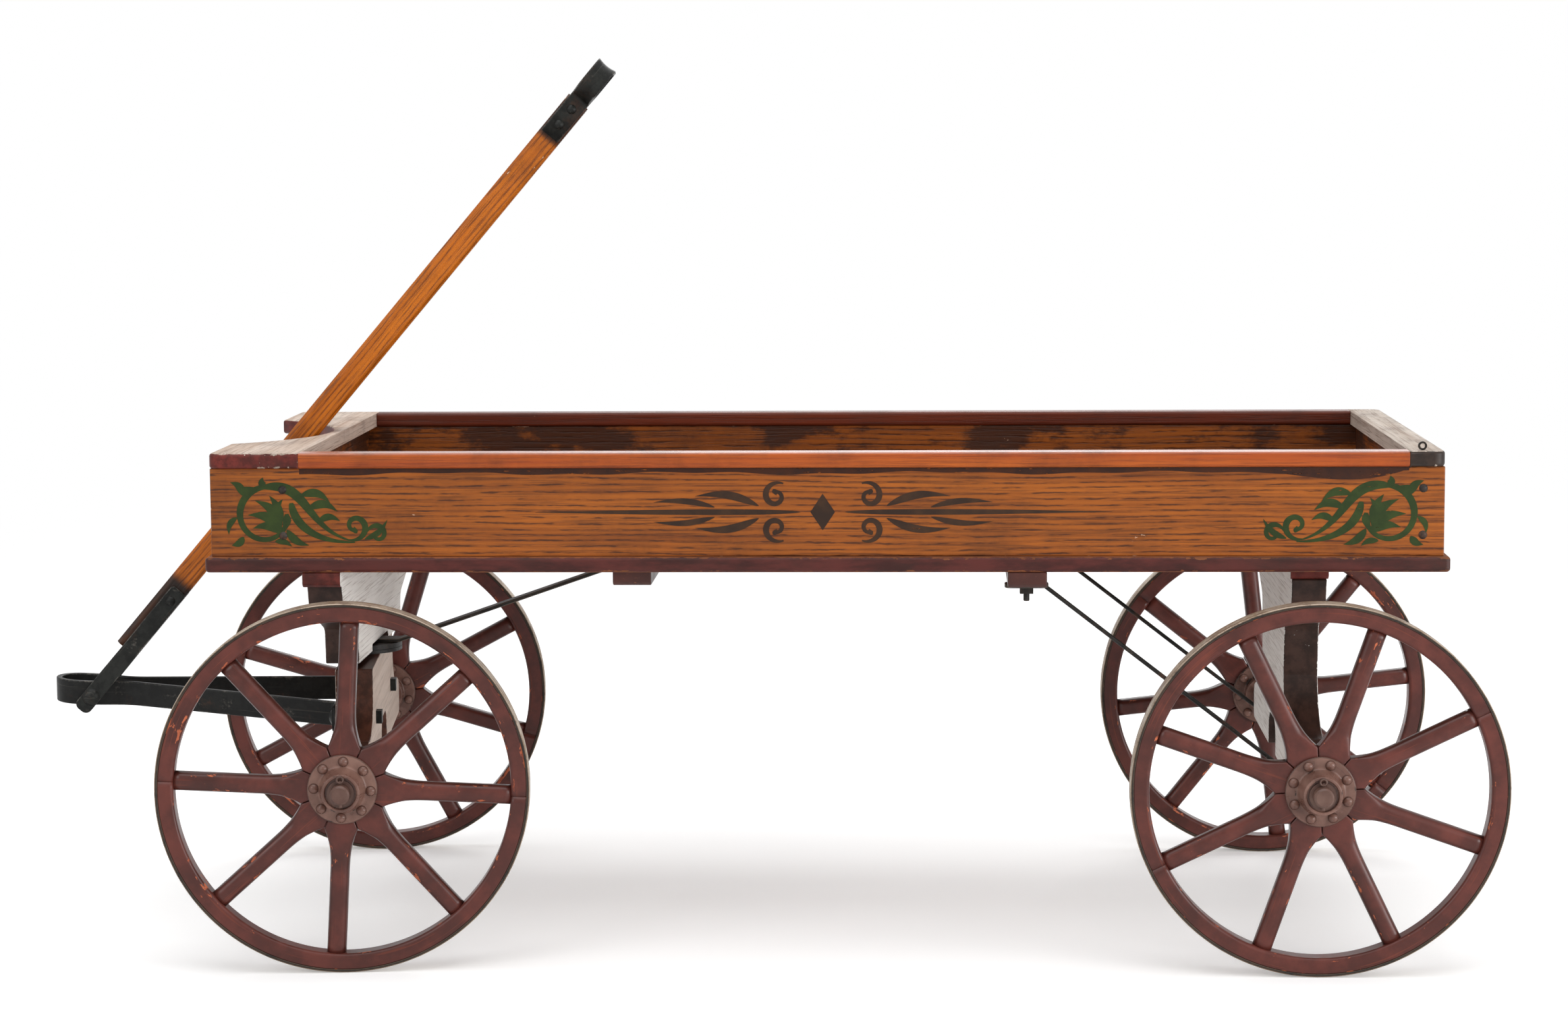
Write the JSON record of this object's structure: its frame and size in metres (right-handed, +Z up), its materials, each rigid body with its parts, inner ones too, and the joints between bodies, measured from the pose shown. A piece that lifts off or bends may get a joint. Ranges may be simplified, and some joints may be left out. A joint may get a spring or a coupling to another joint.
{
  "type": "coaster wagon",
  "caption": "Wooden coaster wagon: an open boarded box on bolsters, a steered front axle with a folding draw handle, and spoked wooden wheels with steel tyres.",
  "frame": {"origin": "on the ground under the middle of the overall length, on the centre plane of the box", "axes": "+X towards the rear, +Y towards the right side, +Z up"},
  "size_m": [1.2348, 0.5586, 0.7457],
  "materials": {
    "varnished_oak": "satin",
    "floor_oak": "matte",
    "painted_cap": "worn",
    "maroon_wood": "satin",
    "weathered_wood": "matte",
    "handle_wood": "satin",
    "black_iron": "satin",
    "worn_steel": "worn",
    "tyre_steel": "worn",
    "maroon_metal": "satin"
  },
  "bodies": {
    "wagon_box": {"board_screws": "worn_steel", "eye_screw": "worn_steel", "fifth_wheel_upper": "black_iron", "floor_board_left": "floor_oak", "floor_board_right": "floor_oak", "floor_bolts": "black_iron", "front_bolster": "weathered_wood", "front_brace": "black_iron", "front_cap": "painted_cap", "front_cleat": "maroon_wood", "front_end_board": "varnished_oak", "front_mid_cleat": "maroon_wood", "king_bolt": "black_iron", "rear_axle": "worn_steel", "rear_axle_pins": "worn_steel", "rear_bolster": "weathered_wood", "rear_braces": "black_iron", "rear_cap": "painted_cap", "rear_cleat": "maroon_wood", "rear_end_board": "varnished_oak", "rear_mid_cleat": "maroon_wood", "side_board_left": "varnished_oak", "side_board_right": "varnished_oak", "side_rail_left": "varnished_oak", "side_rail_right": "varnished_oak"},
    "front_gear": {"fifth_wheel_lower": "black_iron", "front_axle_block": "weathered_wood", "front_axle": "worn_steel", "draw_bar": "black_iron", "draw_bar_bolts": "black_iron", "front_axle_pins": "worn_steel"},
    "draw_handle": {"handle_bar": "handle_wood", "handle_straps": "black_iron", "handle_rivets": "black_iron", "handle_bolt": "black_iron", "grip_loop": "black_iron"},
    "front_left_wheel": {"front_left_wheel_felloe": "maroon_wood", "front_left_wheel_hub_inner": "maroon_metal", "front_left_wheel_hub_outer": "maroon_metal", "front_left_wheel_hub_rivets": "maroon_metal", "front_left_wheel_spokes": "maroon_wood", "front_left_wheel_tyre": "tyre_steel"},
    "front_right_wheel": {"front_right_wheel_felloe": "maroon_wood", "front_right_wheel_hub_inner": "maroon_metal", "front_right_wheel_hub_outer": "maroon_metal", "front_right_wheel_hub_rivets": "maroon_metal", "front_right_wheel_spokes": "maroon_wood", "front_right_wheel_tyre": "tyre_steel"},
    "rear_left_wheel": {"rear_left_wheel_felloe": "maroon_wood", "rear_left_wheel_hub_inner": "maroon_metal", "rear_left_wheel_hub_outer": "maroon_metal", "rear_left_wheel_hub_rivets": "maroon_metal", "rear_left_wheel_spokes": "maroon_wood", "rear_left_wheel_tyre": "tyre_steel"},
    "rear_right_wheel": {"rear_right_wheel_felloe": "maroon_wood", "rear_right_wheel_hub_inner": "maroon_metal", "rear_right_wheel_hub_outer": "maroon_metal", "rear_right_wheel_hub_rivets": "maroon_metal", "rear_right_wheel_spokes": "maroon_wood", "rear_right_wheel_tyre": "tyre_steel"}
  },
  "joints": [
    {"name": "steering", "type": "hinge", "parent": "wagon_box", "child": "front_gear", "pos_m": [-0.34782, 0, 0.231], "axis": [0, 0, 1], "range_deg": [-25, 15]},
    {"name": "handle_tilt", "type": "hinge", "parent": "front_gear", "child": "draw_handle", "pos_m": [-0.58392, -0.02066, 0.194], "axis": [0.0872, -0.9962, 0], "range_deg": [0, 144]},
    {"name": "front_left_wheel_spin", "type": "hinge", "parent": "front_gear", "child": "front_left_wheel", "pos_m": [-0.32679, -0.24038, 0.1524], "axis": [-0.0872, 0.9962, 0], "continuous": true},
    {"name": "front_right_wheel_spin", "type": "hinge", "parent": "front_gear", "child": "front_right_wheel", "pos_m": [-0.36885, 0.24038, 0.1524], "axis": [-0.0872, 0.9962, 0], "continuous": true},
    {"name": "rear_left_wheel_spin", "type": "hinge", "parent": "wagon_box", "child": "rear_left_wheel", "pos_m": [0.46498, -0.2413, 0.1524], "axis": [0, 1, 0], "continuous": true},
    {"name": "rear_right_wheel_spin", "type": "hinge", "parent": "wagon_box", "child": "rear_right_wheel", "pos_m": [0.46498, 0.2413, 0.1524], "axis": [0, 1, 0], "continuous": true}
  ]
}
